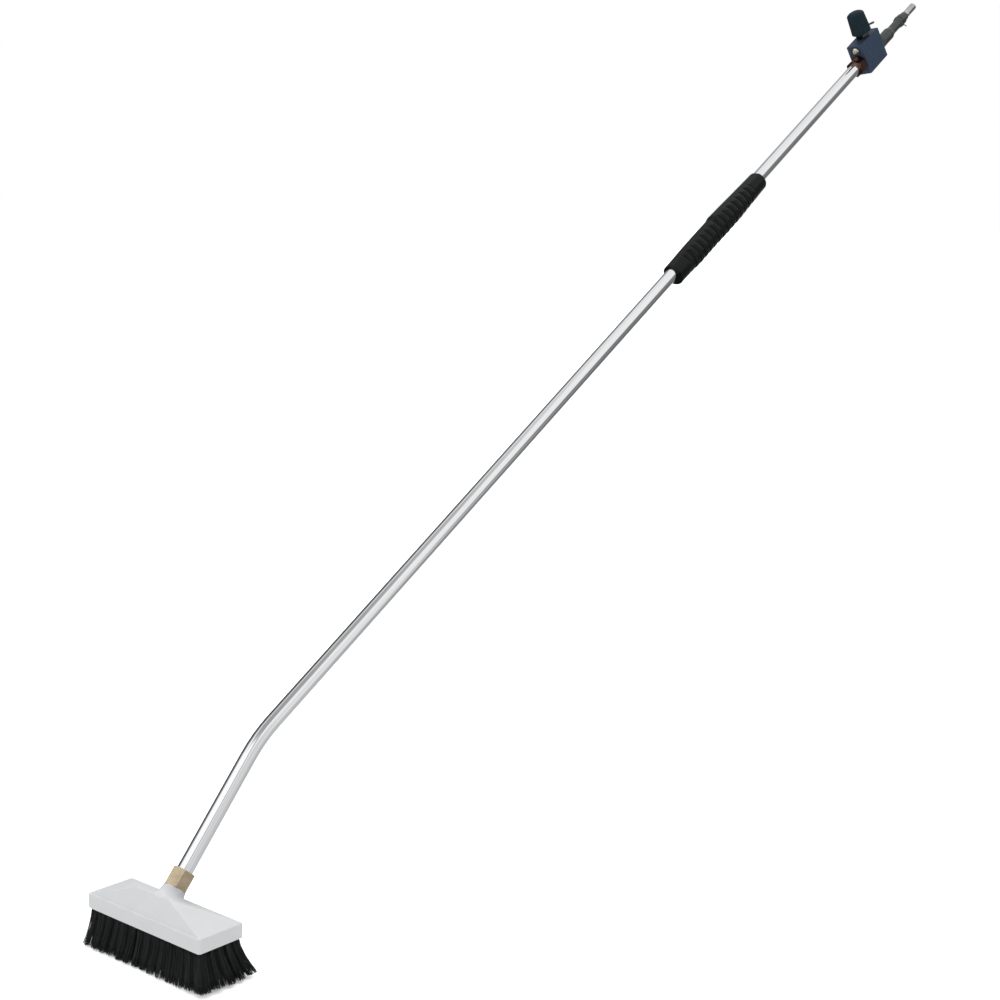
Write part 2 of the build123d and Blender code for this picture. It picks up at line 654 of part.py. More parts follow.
def valve_seat():
    """Brass seat ring at the bottom of the valve chamber."""
    low = SEAT_TOP - SEAT_HEIGHT
    return knob_frame * turned(
        (SEAT_BORE, low), (SEAT_RADIUS, low), (SEAT_RADIUS, SEAT_TOP), (SEAT_BORE + 0.8, SEAT_TOP),
        (SEAT_BORE, SEAT_TOP - 1),
    )


def valve_needle():
    """Keyed needle that the spindle's thread raises and lowers."""
    body = turned(
        (0, NEEDLE_TIP), (0.8, NEEDLE_TIP), (NEEDLE_TIP_RADIUS, NEEDLE_SHOULDER - 0.6),
        (NEEDLE_TIP_RADIUS, NEEDLE_SHOULDER), (NEEDLE_RADIUS, NEEDLE_SHOULDER),
        (NEEDLE_RADIUS, NEEDLE_TOP), (NEEDLE_SOCKET_RADIUS, NEEDLE_TOP),
        (NEEDLE_SOCKET_RADIUS, NEEDLE_SOCKET_END), (0, NEEDLE_SOCKET_END),
    )
    key = needle_key(NEEDLE_SHOULDER, NEEDLE_TOP, 0)
    key -= rod(NEEDLE_SOCKET_RADIUS, NEEDLE_TIP, NEEDLE_TOP + 1)
    base = rod(NEEDLE_SOCKET_RADIUS, NEEDLE_SHOULDER, NEEDLE_SOCKET_END)
    return knob_frame * (body + key + base)


def valve_gland():
    """Gland screwed into the block; it guides and seals the spindle."""
    head_top = BLOCK_TOP + GLAND_HEAD_HEIGHT
    body = rod(GLAND_THREAD_RADIUS, GLAND_BOTTOM, BLOCK_TOP + 1)
    body += hexagon(GLAND_HEAD_FLATS, BLOCK_TOP, head_top, 0, 0.7)
    body -= rod(SPINDLE_RADIUS + SPINDLE_FIT, GLAND_BOTTOM - 1, head_top + 1)
    groove = 2 * SEAL_SECTION + SPINDLE_RADIUS + 2 * SPINDLE_FIT
    low = SEAL_HEIGHT - SEAL_SECTION - SPINDLE_FIT
    return knob_frame * (body - ring(groove, SPINDLE_RADIUS, low, low + 2.1 * SEAL_SECTION))


def spindle_seal():
    """Round seal in the gland's groove."""
    return knob_frame * o_ring(SPINDLE_RADIUS + SPINDLE_FIT, SEAL_SECTION, SEAL_HEIGHT)


def valve_spindle():
    """Spindle with a thrust collar under the gland and a thread for the needle."""
    collar_top = GLAND_BOTTOM - 0.1
    collar_low = collar_top - SPINDLE_COLLAR_HEIGHT
    spindle = turned(
        (0, SPINDLE_END), (SPINDLE_THREAD_RADIUS - 0.6, SPINDLE_END),
        (SPINDLE_THREAD_RADIUS, SPINDLE_END + 0.6), (SPINDLE_THREAD_RADIUS, collar_low),
        (SPINDLE_COLLAR_RADIUS, collar_low), (SPINDLE_COLLAR_RADIUS, collar_top),
        (SPINDLE_RADIUS, collar_top), (SPINDLE_RADIUS, SPINDLE_TOP - 0.6),
        (SPINDLE_RADIUS - 0.6, SPINDLE_TOP), (0, SPINDLE_TOP),
    )
    return knob_frame * (spindle - pin_frame * rod(PIN_HOLE_RADIUS, 0, 2 * SPINDLE_RADIUS))


def knob():
    """Tapered, domed and shallowly fluted hand knob."""
    top = KNOB_BASE + KNOB_HEIGHT
    rim = top - KNOB_DOME
    side = Line((KNOB_BASE_RADIUS, 0, KNOB_BASE + 1), (KNOB_TOP_RADIUS, 0, rim))
    dome = ThreePointArc(
        (KNOB_TOP_RADIUS, 0, rim), (KNOB_TOP_RADIUS * 0.74, 0, top - KNOB_DOME * 0.28), (0, 0, top)
    )
    foot = Polyline(
        (0, 0, top), (0, 0, KNOB_BASE), (KNOB_BASE_RADIUS - 1, 0, KNOB_BASE),
        (KNOB_BASE_RADIUS, 0, KNOB_BASE + 1),
    )
    body = revolve(make_face(Wire([*side.edges(), *dome.edges(), *foot.edges()])), Axis.Z)
    lean = degrees(atan2(KNOB_BASE_RADIUS - KNOB_TOP_RADIUS, rim - KNOB_BASE))
    flute_at = KNOB_BASE_RADIUS + FLUTE_RADIUS - FLUTE_DEPTH
    flute = Pos(flute_at, 0, KNOB_BASE) * Rot(0, -lean, 0) * rod(FLUTE_RADIUS, 4, 2 * KNOB_HEIGHT)
    body -= [Rot(0, 0, (i + 0.5) * 360 / KNOB_FLUTES) * flute for i in range(KNOB_FLUTES)]
    body -= rod(SPINDLE_RADIUS + THREAD_CLEARANCE, KNOB_BASE - 1, SPINDLE_TOP + 1)
    body -= rod(KNOB_SKIRT_RADIUS, KNOB_BASE - 1, KNOB_BASE + KNOB_SKIRT_DEPTH)
    body -= pin_frame * rod(PIN_HOLE_RADIUS, 0, 2 * KNOB_BASE_RADIUS)
    return knob_frame * body


def knob_pin():
    """Pin that fixes the knob on the spindle and stands out as a pointer."""
    pin = rod(PIN_RADIUS, PIN_INNER, PIN_OUTER)
    pin = fillet(pin.edges().group_by(Axis.Z)[-1], PIN_END_RADIUS)
    return knob_frame * pin_frame * pin


def inlet_seal():
    """Flat seal between the inlet body and the block."""
    return inlet_frame * ring(
        ADAPTOR_SHANK_RADIUS + 2.6, ADAPTOR_SHANK_RADIUS + THREAD_CLEARANCE, 0, INLET_SEAL_THICKNESS
    )


def inlet_body():
    """Inlet body: a shank in the block, spanner flats and a socket for the nipple's sleeve."""
    start = INLET_SEAL_THICKNESS
    shank = rod(ADAPTOR_SHANK_RADIUS, 0.5 - INLET_THREAD_DEPTH, start + 1)
    flats = hexagon(INLET_HEX_FLATS, start, start + INLET_HEX_LENGTH, 20.0, 0.6)
    barrel = turned(
        (0, start + INLET_HEX_LENGTH), (INLET_BODY_RADIUS - 0.8, start + INLET_HEX_LENGTH),
        (INLET_BODY_RADIUS, start + INLET_HEX_LENGTH + 0.8), (INLET_BODY_RADIUS, INLET_BODY_LENGTH - 6),
        (INLET_BODY_RADIUS - 1.4, INLET_BODY_LENGTH), (0, INLET_BODY_LENGTH),
    )
    body = shank + flats + barrel
    body -= rod(ADAPTOR_BORE, -2 * INLET_THREAD_DEPTH, INLET_BODY_LENGTH + 1)
    socket_low = INLET_BODY_LENGTH - SOCKET_DEPTH
    return inlet_frame * (body - rod(SLEEVE_RADIUS + THREAD_CLEARANCE, socket_low, INLET_BODY_LENGTH + 1))


def nipple_sleeve():
    """Dark sleeve that carries the nipple, with a raised band and a groove for the clip."""
    socket_low = INLET_BODY_LENGTH - SOCKET_DEPTH
    band_low = INLET_BODY_LENGTH + SLEEVE_NECK_LENGTH
    band_high = band_low + SLEEVE_BULGE_LENGTH
    end = band_high + SLEEVE_SHOULDER_LENGTH
    groove_at = band_low + CLIP_ALONG
    depth = CLIP_WIRE_RADIUS
    return inlet_frame * turned(
        (NIPPLE_RADIUS + THREAD_CLEARANCE, socket_low), (SLEEVE_RADIUS, socket_low),
        (SLEEVE_RADIUS, band_low - 1), (SLEEVE_BULGE_RADIUS - 0.8, band_low),
        (SLEEVE_BULGE_RADIUS, band_low + 1.2), (SLEEVE_BULGE_RADIUS, groove_at - 1.5 * depth),
        (SLEEVE_BULGE_RADIUS - depth, groove_at - 1.3 * depth),
        (SLEEVE_BULGE_RADIUS - depth, groove_at + 1.3 * depth),
        (SLEEVE_BULGE_RADIUS, groove_at + 1.5 * depth),
        (SLEEVE_BULGE_RADIUS, band_high - 1.2), (SLEEVE_BULGE_RADIUS - 0.6, band_high),
        (SLEEVE_SHOULDER_RADIUS, band_high), (SLEEVE_SHOULDER_END_RADIUS, end),
        (NIPPLE_RADIUS + THREAD_CLEARANCE, end),
    )


def inlet_nipple():
    """Plated nipple that a hose coupling pushes on to."""
    low = INLET_BODY_LENGTH - SOCKET_DEPTH
    shoulder = INLET_BODY_LENGTH + SLEEVE_NECK_LENGTH + SLEEVE_BULGE_LENGTH + SLEEVE_SHOULDER_LENGTH
    end = shoulder + NIPPLE_LENGTH
    groove = shoulder + NIPPLE_LENGTH * 0.16
    return inlet_frame * turned(
        (NIPPLE_BORE, low), (NIPPLE_RADIUS, low), (NIPPLE_RADIUS, groove),
        (NIPPLE_RADIUS - NIPPLE_GROOVE, groove + NIPPLE_GROOVE),
        (NIPPLE_RADIUS - NIPPLE_GROOVE, groove + 3 * NIPPLE_GROOVE),
        (NIPPLE_RADIUS, groove + 4 * NIPPLE_GROOVE), (NIPPLE_RADIUS, end - NIPPLE_END_CHAMFER),
        (NIPPLE_RADIUS - NIPPLE_END_CHAMFER, end), (NIPPLE_BORE + 0.5, end), (NIPPLE_BORE, end - 0.5),
    )


def retaining_clip():
    """Wire snap ring in the groove of the sleeve's band, with one end bent outwards."""
    height = INLET_BODY_LENGTH + SLEEVE_NECK_LENGTH + CLIP_ALONG
    centre = SLEEVE_BULGE_RADIUS + THREAD_CLEARANCE
    loop = revolve(
        make_face(Pos(centre, 0, 0) * Rot(90, 0, 0) * Wire.make_circle(CLIP_WIRE_RADIUS)),
        Axis.Z, 330,
    )
    tail = Pos(centre, 0, 0) * Rot(0, 90, 0) * rod(CLIP_WIRE_RADIUS, 0, CLIP_TAIL)
    return inlet_frame * Pos(0, 0, height) * Rot(0, 0, CLIP_TURN) * (loop + tail)


NODES = {
    "brush_cover": brush_cover,
    "brush_back": brush_back,
    "cover_gasket": cover_gasket,
    "plate_screws": plate_screws,
    "tuft_anchors": tuft_anchors,
    "neck_insert": neck_insert,
    "lower_union_nut": lower_union_nut,
    "lower_union_seal": lower_union_seal,
    "lower_tube_collar": lower_tube_collar,
    "lance_tube": lance_tube,
    "grip": grip,
    "upper_tube_collar": upper_tube_collar,
    "upper_union_seal": upper_union_seal,
    "upper_union_nut": upper_union_nut,
    "valve_adaptor": valve_adaptor,
    "valve_block": valve_block,
    "port_plug": port_plug,
    "port_seal": port_seal,
    "valve_seat": valve_seat,
    "valve_needle": valve_needle,
    "valve_gland": valve_gland,
    "spindle_seal": spindle_seal,
    "valve_spindle": valve_spindle,
    "knob": knob,
    "knob_pin": knob_pin,
    "inlet_seal": inlet_seal,
    "inlet_body": inlet_body,
    "nipple_sleeve": nipple_sleeve,
    "inlet_nipple": inlet_nipple,
    "retaining_clip": retaining_clip,
}


def bristle_reach_y():
    """How far the bristle tips reach to the front of the brush's middle."""
    return (TUFT_ROWS - 1) / 2 * TUFT_PITCH_Y * BRISTLE_FLARE_Y + BRISTLE_TIP_HALF_Y


def nipple_length():
    """Distance of the nipple's end from the block's far face."""
    sleeve_end = SLEEVE_NECK_LENGTH + SLEEVE_BULGE_LENGTH + SLEEVE_SHOULDER_LENGTH
    return INLET_BODY_LENGTH + sleeve_end + NIPPLE_LENGTH


def to_row_frame():
    """Move from the brush frame to the middle of the bottom of the bounding box."""
    end = inlet_frame * Pos(0, 0, nipple_length())
    far_y = end.position.Y + (NIPPLE_RADIUS - NIPPLE_END_CHAMFER) * sin(radians(UPPER_ANGLE))
    near_y = -bristle_reach_y()
    middle_x = (BRISTLE_TIP_RIGHT - BRISTLE_TIP_LEFT) / 2
    return Pos(-middle_x, -(far_y + near_y) / 2, -bristle_tip)


def main():
    """Write one STEP file for each node."""
    os.makedirs("parts", exist_ok=True)
    place = to_row_frame()
    for row in range(TUFT_ROWS):
        NODES[f"bristle_row_{row + 1}"] = lambda row=row: bristle_row(row)
    for name, make in NODES.items():
        made = make()
        solids = made if isinstance(made, list) else [made]
        placed = [place * solid for piece in solids for solid in piece.solids()]
        shape = placed[0] if len(placed) == 1 else Compound(children=placed)
        export_step(shape, f"parts/{name}.step")


if __name__ == "__main__":
    main()
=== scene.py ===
"""Looks of the washing lance: materials, bristles, rubber grip, studio and camera.

Lengths named in the constants are millimetres; everything built from them is in metres, in the
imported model's frame. Two frames are used: the brush's, whose origin is the middle of the cover's
top edge, and the upper tube's, whose Z runs up the tube and whose Y points to its lower side.
"""

import json
import math

import bpy
import numpy as np
from mathutils import Matrix, Vector


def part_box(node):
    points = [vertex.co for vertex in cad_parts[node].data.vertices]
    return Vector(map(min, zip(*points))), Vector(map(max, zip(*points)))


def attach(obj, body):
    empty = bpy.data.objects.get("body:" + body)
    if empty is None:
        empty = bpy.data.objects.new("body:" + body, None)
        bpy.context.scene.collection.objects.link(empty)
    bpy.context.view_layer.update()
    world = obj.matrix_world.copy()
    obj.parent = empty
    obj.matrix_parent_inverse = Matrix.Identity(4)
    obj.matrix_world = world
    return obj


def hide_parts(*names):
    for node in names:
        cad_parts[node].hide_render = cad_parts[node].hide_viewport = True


MM = 0.001

# Camera, from the brush's origin
CAMERA_PLACE = (1550.0, -1308.2, 852.9)
CAMERA_AZIMUTH = 39.165
CAMERA_ELEVATION = 10.274
CAMERA_ROLL = 1.674
CAMERA_LENS = 65.59
CAMERA_SENSOR = 36.0

# Height of the cover's rim; the brush's origin is level with its top edge
RIM_HEIGHT = 17.6

# Studio: brightness of the sky, of the ground and of what lies far below, and the heights, as the
# sine of the elevation, between which each one passes into the next
SKY_LEVEL = 0.86
GROUND_LEVEL = 0.60
DEEP_LEVEL = 0.10
SKY_FADE = (-0.12, 0.06)
DEEP_FADE = (-0.75, -0.55)

# Soft patches: azimuth, elevation, full and outer radius in degrees, and brightness
SKY_PATCHES = (
    (-105, 45, 30, 62, 1.10),
    (15, 48, 14, 40, 0.92),
    (-8, 14, 14, 34, 0.70),
    (172, 15, 10, 54, 0.08),
    (72, -4, 12, 30, 0.16),
    (46, 12, 8, 19, 0.20),
    (-130, 74, 8, 24, 0.35),
    (-50, 74, 6, 20, 0.40),
)

# Upright gap between two bright panels; widths and fades are sines and cosines of angles
GAP_AZIMUTH = -42.0
GAP_LEVEL = 0.30
GAP_WIDTH = 0.095
GAP_CORE = 0.35
GAP_FACING_FADE = (0.1, 0.3)
GAP_HEIGHT_FADE = (0.25, 0.45)

# Suns: azimuth, elevation, strength and angular width
KEY_LIGHT = (158, 42, 2.4, 60)
TOP_LIGHT = (20, 86, 1.55, 60)

FLOOR_SIZE = 60000.0
FLOOR_GLOW = 0.3

# The edge mask, used both for rubbed edges and for painted edge highlights, starts and ends where a
# mesh's rounded and plain normal differ by these cosines
EDGE_RADIUS = 0.8
EDGE_FADE = (0.99, 0.90)

# Grip, along the upper tube from the joint at the tube's upper end; its two outlines are lists of
# (place along the grip, radius), for the smooth palm side and for the crests of the finger side
GRIP_START = -623.15
GRIP_LENGTH = 268.0
GRIP_BORE = 10.06
GRIP_OFFSET = 3.4
GRIP_PALM = ((0, 16.2), (0.9, 16.9), (15, 17.1), (55, 18.0), (103, 18.1), (126, 17.8), (136, 19.2),
             (167, 18.3), (215, 16.5), (255, 15.2), (267, 14.9), (268, 14.1))
GRIP_FINGER = ((0, 15.9), (0.9, 16.7), (27, 16.9), (55, 18.8), (103, 18.5), (151, 19.3),
               (183, 18.9), (215, 17.6), (250, 16.4), (267, 16.0), (268, 15.2))
RIB_FIRST = 27.0
RIB_LAST = 234.0
RIB_COUNT = 15
RIB_DEPTH = 3.8
RIB_ROUND_SHARE = 0.25
RIB_GROOVE_POWER = 8
RIB_FADE = 2.0
GRIP_TURN = 25.0
FINGER_FROM = -0.84
FINGER_BLEND = 0.45
GRIP_SIDES = 96
GRIP_STEP = 0.75

# Bristles, in the brush's frame
TUFT_COLUMNS = 14
TUFT_ROWS = 5
TUFT_PITCH_X = 13.8
TUFT_PITCH_Y = 12.4
TUFT_ROOT_HALF = (6.2, 5.2)
ROOT_REACH = 94.4
TUFT_TIP_RADIUS = 7.4
TIP_RADIUS_RANGE = (0.88, 1.12)
SPLAY = 0.3
TUFT_LEAN = 0.7
STRAND_STRAY = 0.35
TUFT_ROOT_Z = -16.9
BRISTLE_LENGTH = 48.3
BRISTLE_TIP_Z = -63.6
TUFT_WEAR = 1.5
ROUNDED_TUFT_END = 1.1
STRAND_WEAR = 0.5
LARGEST_LEAN = 30
STRANDS = 170
STRAND_RADIUS = 0.33
STRAND_RINGS = 5
STRAND_SIDES = 3
STRAND_TAPER = 0.3
STRAND_BEND = 1.5
FLARE_LEFT = 3.4
FLARE_RIGHT = 18.4
FLARE_LEFT_POWER = 1.5
FLARE_RIGHT_POWER = 2.4
FLARE_Y = 1.42
RANDOM_SEED = 11

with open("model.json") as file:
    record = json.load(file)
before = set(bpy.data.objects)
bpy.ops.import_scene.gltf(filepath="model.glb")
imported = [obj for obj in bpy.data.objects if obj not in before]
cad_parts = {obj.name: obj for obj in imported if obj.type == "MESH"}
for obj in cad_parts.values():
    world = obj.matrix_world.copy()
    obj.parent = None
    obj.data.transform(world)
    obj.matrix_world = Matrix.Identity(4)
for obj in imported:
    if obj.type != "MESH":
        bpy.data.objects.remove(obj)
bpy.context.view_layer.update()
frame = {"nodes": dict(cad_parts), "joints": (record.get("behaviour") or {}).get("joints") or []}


def brush_frame():
    """Matrix of the brush's frame."""
    low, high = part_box("brush_cover")
    middle = (low + high) / 2
    return Matrix.Translation((middle.x, middle.y, low.z + RIM_HEIGHT * MM))


def joint(name):
    """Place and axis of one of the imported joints."""
    found = next(j for j in frame["joints"] if j["name"] == name)
    return Vector(found["pos_m"]), Vector(found["axis"]).normalized()


def joint_frame(name):
    """Matrix with Z along a joint's axis and X along the brush, at the joint."""
    place, axis = joint(name)
    side = Vector((1, 0, 0))
    down = axis.cross(side).normalized()
    turn = Matrix((down.cross(axis), down, axis)).transposed()
    return Matrix.Translation(place) @ turn.to_4x4()


def turned_to(name):
    """Euler angles that carry a joint's axis on to Z, for a texture's mapping."""
    return joint_frame(name).to_3x3().transposed().to_euler()


class Graph:
    """Short calls for building the nodes of one material or world."""

    def __init__(self, tree):
        self.tree = tree

    def add(self, kind, inputs=(), **settings):
        """A node with its settings, and inputs given as (socket, value or link)."""
        made = self.tree.nodes.new(kind)
        for name, value in settings.items():
            setattr(made, name, value)
        for socket, value in inputs:
            if isinstance(value, bpy.types.NodeSocket):
                self.tree.links.new(value, made.inputs[socket])
            else:
                made.inputs[socket].default_value = value
        return made

    def mapped(self, scale=(1, 1, 1), turn=(0, 0, 0)):
        """Object coordinates, turned and then scaled."""
        place = self.add("ShaderNodeTexCoord").outputs["Object"]
        turned = self.add("ShaderNodeMapping", (("Vector", place), ("Rotation", turn)))
        return self.add(
            "ShaderNodeMapping", (("Vector", turned.outputs[0]), ("Scale", scale))
        ).outputs[0]

    def noise(self, vector, scale, detail=3.0, roughness=0.5):
        """Value of a noise texture."""
        inputs = (("Vector", vector), ("Scale", scale), ("Detail", detail), ("Roughness", roughness))
        return self.add("ShaderNodeTexNoise", inputs).outputs[0]

    def maths(self, operation, first, second=0.0, clamp=False):
        """Result of one sum on two values."""
        return self.add(
            "ShaderNodeMath", ((0, first), (1, second)), operation=operation, use_clamp=clamp
        ).outputs[0]

    def ranged(self, value, low, high, to_low=0.0, to_high=1.0):
        """Value carried smoothly from one range to another."""
        inputs = ((0, value), (1, low), (2, high), (3, to_low), (4, to_high))
        return self.add("ShaderNodeMapRange", inputs, interpolation_type="SMOOTHSTEP").outputs[0]

    def mixed(self, factor, first, second):
        """Colour between two colours."""
        made = self.add("ShaderNodeMix", (("Factor", factor),), data_type="RGBA")
        for socket, value in ((6, first), (7, second)):
            if isinstance(value, bpy.types.NodeSocket):
                self.tree.links.new(value, made.inputs[socket])
            else:
                made.inputs[socket].default_value = (*value, 1.0)
        return made.outputs[2]

    def bump(self, height, distance, strength=1.0, normal=None):
        """Bumped normal; distance in metres."""
        inputs = [("Height", height), ("Distance", distance), ("Strength", strength)]
        if normal is not None:
            inputs.append(("Normal", normal))
        return self.add("ShaderNodeBump", inputs).outputs[0]

    def edges(self):
        """1 along the sharp edges of the mesh, 0 elsewhere."""
        rounded = self.add("ShaderNodeBevel", (("Radius", EDGE_RADIUS * MM),), samples=6).outputs[0]
        plain = self.add("ShaderNodeNewGeometry").outputs["Normal"]
        alike = self.add("ShaderNodeVectorMath", ((0, rounded), (1, plain)), operation="DOT_PRODUCT")
        return self.ranged(alike.outputs["Value"], *EDGE_FADE)


def new_material(name, plain):
    """Material with its uniform values set on the shader; returns it, its graph and its shader."""
    made = bpy.data.materials.new(name)
    made.use_nodes = True
    shader = made.node_tree.nodes["Principled BSDF"]
    for socket, value in plain.items():
        shader.inputs[socket].default_value = value
    return made, Graph(made.node_tree), shader


def wire(graph, shader, **links):
    """Joins values to the shader's sockets: colour, roughness and normal."""
    sockets = {"colour": "Base Color", "roughness": "Roughness", "normal": "Normal"}
    for name, value in links.items():
        graph.tree.links.new(value, shader.inputs[sockets[name]])


def white_plastic():
    """Moulded white plastic: faint orange peel, slight mottling, a little dust and a painted
    highlight along its edges.
    """
    coat = {"Coat Weight": 0.15, "Coat Roughness": 0.25}
    made, graph, shader = new_material("white_plastic", coat)
    place = graph.mapped()
    mottle = graph.noise(place, 35, 4)
    dust = graph.ranged(graph.noise(place, 120, 6, 0.7), 0.52, 0.75)
    base = graph.mixed(mottle, (0.436, 0.441, 0.451), (0.478, 0.483, 0.491))
    base = graph.mixed(graph.maths("MULTIPLY", dust, 0.22), base, (0.43, 0.425, 0.41))
    # painted highlight: the plastic is lightened along its sharp edges, where the rounded edges would
    # catch the light
    base = graph.mixed(graph.maths("MULTIPLY", graph.edges(), 0.35), base, (0.61, 0.615, 0.62))
    peel = graph.bump(graph.noise(place, 620, 2), 0.00010)
    wire(graph, shader, colour=base, normal=graph.bump(mottle, 0.0004, 0.25, peel),
         roughness=graph.ranged(mottle, 0.3, 0.7, 0.30, 0.42))
    return made


def board_plastic():
    """Off-white board under the cover, milled and a little stained."""
    made, graph, shader = new_material("board_plastic", {"IOR": 1.48})
    place = graph.mapped()
    stain = graph.noise(place, 28, 5, 0.6)
    milled = graph.noise(graph.mapped((900, 60, 60)), 1, 2)
    wire(graph, shader, colour=graph.mixed(stain, (0.42, 0.41, 0.38), (0.55, 0.54, 0.51)),
         roughness=graph.ranged(milled, 0.3, 0.7, 0.5, 0.7), normal=graph.bump(milled, 0.0001))
    return made


def black_rubber():
    """Matte black rubber of the seals."""
    made, graph, shader = new_material("black_rubber", {"IOR": 1.45})
    place = graph.mapped()
    grain = graph.noise(place, 1400, 3)
    wire(graph, shader, colour=graph.mixed(grain, (0.008, 0.009, 0.009), (0.022, 0.023, 0.023)),
         roughness=graph.ranged(grain, 0.3, 0.7, 0.5, 0.7), normal=graph.bump(grain, 0.00006))
    return made


def grip_rubber():
    """Satin rubber of the grip: fine skin grain, a faint bloom and handled, smoother patches."""
    made, graph, shader = new_material("grip_rubber", {"IOR": 1.5, "Specular IOR Level": 0.16})
    place = graph.mapped()
    grain = graph.noise(place, 1500, 3, 0.6)
    bloom = graph.noise(place, 45, 4, 0.6)
    wire(graph, shader, colour=graph.mixed(bloom, (0.0012, 0.0020, 0.0018), (0.0035, 0.0050, 0.0046)),
         roughness=graph.ranged(bloom, 0.3, 0.7, 0.20, 0.30), normal=graph.bump(grain, 0.00005))
    return made


def bristle_black():
    """Black synthetic strands with lighter, flagged ends."""
    made, graph, shader = new_material("bristle_black", {"IOR": 1.5})
    place = graph.mapped()
    height = graph.add("ShaderNodeSeparateXYZ", (("Vector", place),)).outputs[2]
    tip = graph.ranged(height, 0.011, 0.0005)
    strand = graph.noise(graph.mapped((1, 1, 0.05)), 900, 2)
    dark = graph.mixed(strand, (0.0020, 0.0032, 0.0030), (0.0070, 0.0098, 0.0094))
    light = graph.mixed(strand, (0.006, 0.008, 0.008), (0.026, 0.029, 0.028))
    wire(graph, shader, colour=graph.mixed(graph.maths("MULTIPLY", tip, 0.75), dark, light),
         roughness=graph.ranged(strand, 0.3, 0.7, 0.32, 0.55))
    return made


def metal(name, dull, bright, rough, grain, turn=(0, 0, 0), stretch=(1, 1, 1),
          spots=0.2, edge_wear_and_highlight=0.3, edge_highlight_gain=1.25):
    """Metal with a directional grain, cloudy tarnish, spots and rubbed edges with painted highlights.

    dull and bright are its two colours and rough its two roughnesses; turn and stretch lay the
    grain along a part; spots, edge_wear_and_highlight and edge_highlight_gain are the strengths of
    the spots and of the brighter edges, partly rubbed metal and partly a painted highlight, and how
    much brighter those edges are.
    """
    made, graph, shader = new_material(name, {"Metallic": 1.0})
    place = graph.mapped()
    cloud = graph.noise(place, 60, 5, 0.6)
    spot = graph.ranged(graph.noise(place, 420, 3, 0.65), 0.56, 0.72)
    lines = graph.noise(graph.mapped(stretch, turn), grain, 2)
    base = graph.mixed(graph.ranged(cloud, 0.32, 0.68), dull, bright)
    base = graph.mixed(graph.maths("MULTIPLY", spot, spots), base, tuple(c * 0.45 for c in dull))
    # painted highlight: the edges are pushed towards a lighter copy of the bright colour, partly as
    # rubbed metal and partly as the highlight along them
    worn_and_highlit_edge = tuple(min(1.0, c * edge_highlight_gain) for c in bright)
    base = graph.mixed(graph.maths("MULTIPLY", graph.edges(), edge_wear_and_highlight), base, worn_and_highlit_edge)
    polish = graph.maths("ADD", graph.ranged(cloud, 0.3, 0.7, rough[0], rough[1]),
                         graph.maths("MULTIPLY", graph.maths("SUBTRACT", lines, 0.5), 0.12))
    wire(graph, shader, colour=base, roughness=polish, normal=graph.bump(lines, 0.000012, 0.8))
    return made


def navy_coat():
    """Satin navy coating of the valve block: fine texture, rubbed paler on the edges."""
    made, graph, shader = new_material("navy_coat", {"IOR": 1.5, "Specular IOR Level": 0.2})
    place = graph.mapped()
    cloud = graph.noise(place, 55, 4, 0.6)
    grain = graph.noise(place, 1100, 3)
    base = graph.mixed(cloud, (0.0150, 0.0265, 0.0480), (0.0230, 0.0390, 0.0690))
    base = graph.mixed(graph.maths("MULTIPLY", graph.edges(), 0.30), base, (0.05, 0.07, 0.10))
    wire(graph, shader, colour=base, roughness=graph.ranged(cloud, 0.3, 0.7, 0.34, 0.48),
         normal=graph.bump(grain, 0.00005))
    return made


def knob_plastic():
    """Dark blue moulded plastic of the knob."""
    made, graph, shader = new_material("knob_plastic", {"IOR": 1.5, "Specular IOR Level": 0.12})
    place = graph.mapped()
    cloud = graph.noise(place, 90, 4, 0.6)
    grain = graph.noise(place, 1300, 3)
    base = graph.mixed(cloud, (0.0040, 0.0105, 0.0165), (0.0075, 0.0170, 0.0255))
    base = graph.mixed(graph.maths("MULTIPLY", graph.edges(), 0.20), base, (0.020, 0.030, 0.038))
    wire(graph, shader, colour=base, roughness=graph.ranged(cloud, 0.3, 0.7, 0.36, 0.5),
         normal=graph.bump(grain, 0.00006))
    return made


def dark_coat():
    """Dark coating on the inlet's turned parts, with rings of fine tool marks."""
    made, graph, shader = new_material("dark_coat", {"Metallic": 0.75})
    turn = turned_to("valve_swivel")
    cloud = graph.noise(graph.mapped(), 80, 4, 0.6)
    rings = graph.noise(graph.mapped((3, 3, 900), turn), 1, 2)
    base = graph.mixed(cloud, (0.045, 0.052, 0.050), (0.085, 0.094, 0.090))
    base = graph.mixed(graph.maths("MULTIPLY", graph.edges(), 0.3), base, (0.22, 0.23, 0.22))
    wire(graph, shader, colour=base, roughness=graph.ranged(cloud, 0.3, 0.7, 0.26, 0.38),
         normal=graph.bump(rings, 0.00002))
    return made


def polished_tube():
    """Polished aluminium with fine drawing lines along the tube."""
    made, graph, shader = new_material("polished_aluminium", {"Metallic": 1.0})
    turn = turned_to("valve_swivel")
    lines = graph.noise(graph.mapped((1, 1, 0.012), turn), 1500, 3)
    cloud = graph.noise(graph.mapped((1, 1, 0.15), turn), 60, 4, 0.6)
    marks = graph.ranged(graph.noise(graph.mapped(), 260, 4, 0.7), 0.60, 0.74)
    base = graph.mixed(cloud, (0.86, 0.865, 0.87), (0.93, 0.935, 0.94))
    base = graph.mixed(graph.maths("MULTIPLY", marks, 0.18), base, (0.60, 0.60, 0.60))
    polish = graph.maths("ADD", graph.ranged(cloud, 0.3, 0.7, 0.05, 0.10),
                         graph.maths("MULTIPLY", lines, 0.04))
    wire(graph, shader, colour=base, roughness=polish, normal=graph.bump(lines, 0.000008, 0.6))
    return made


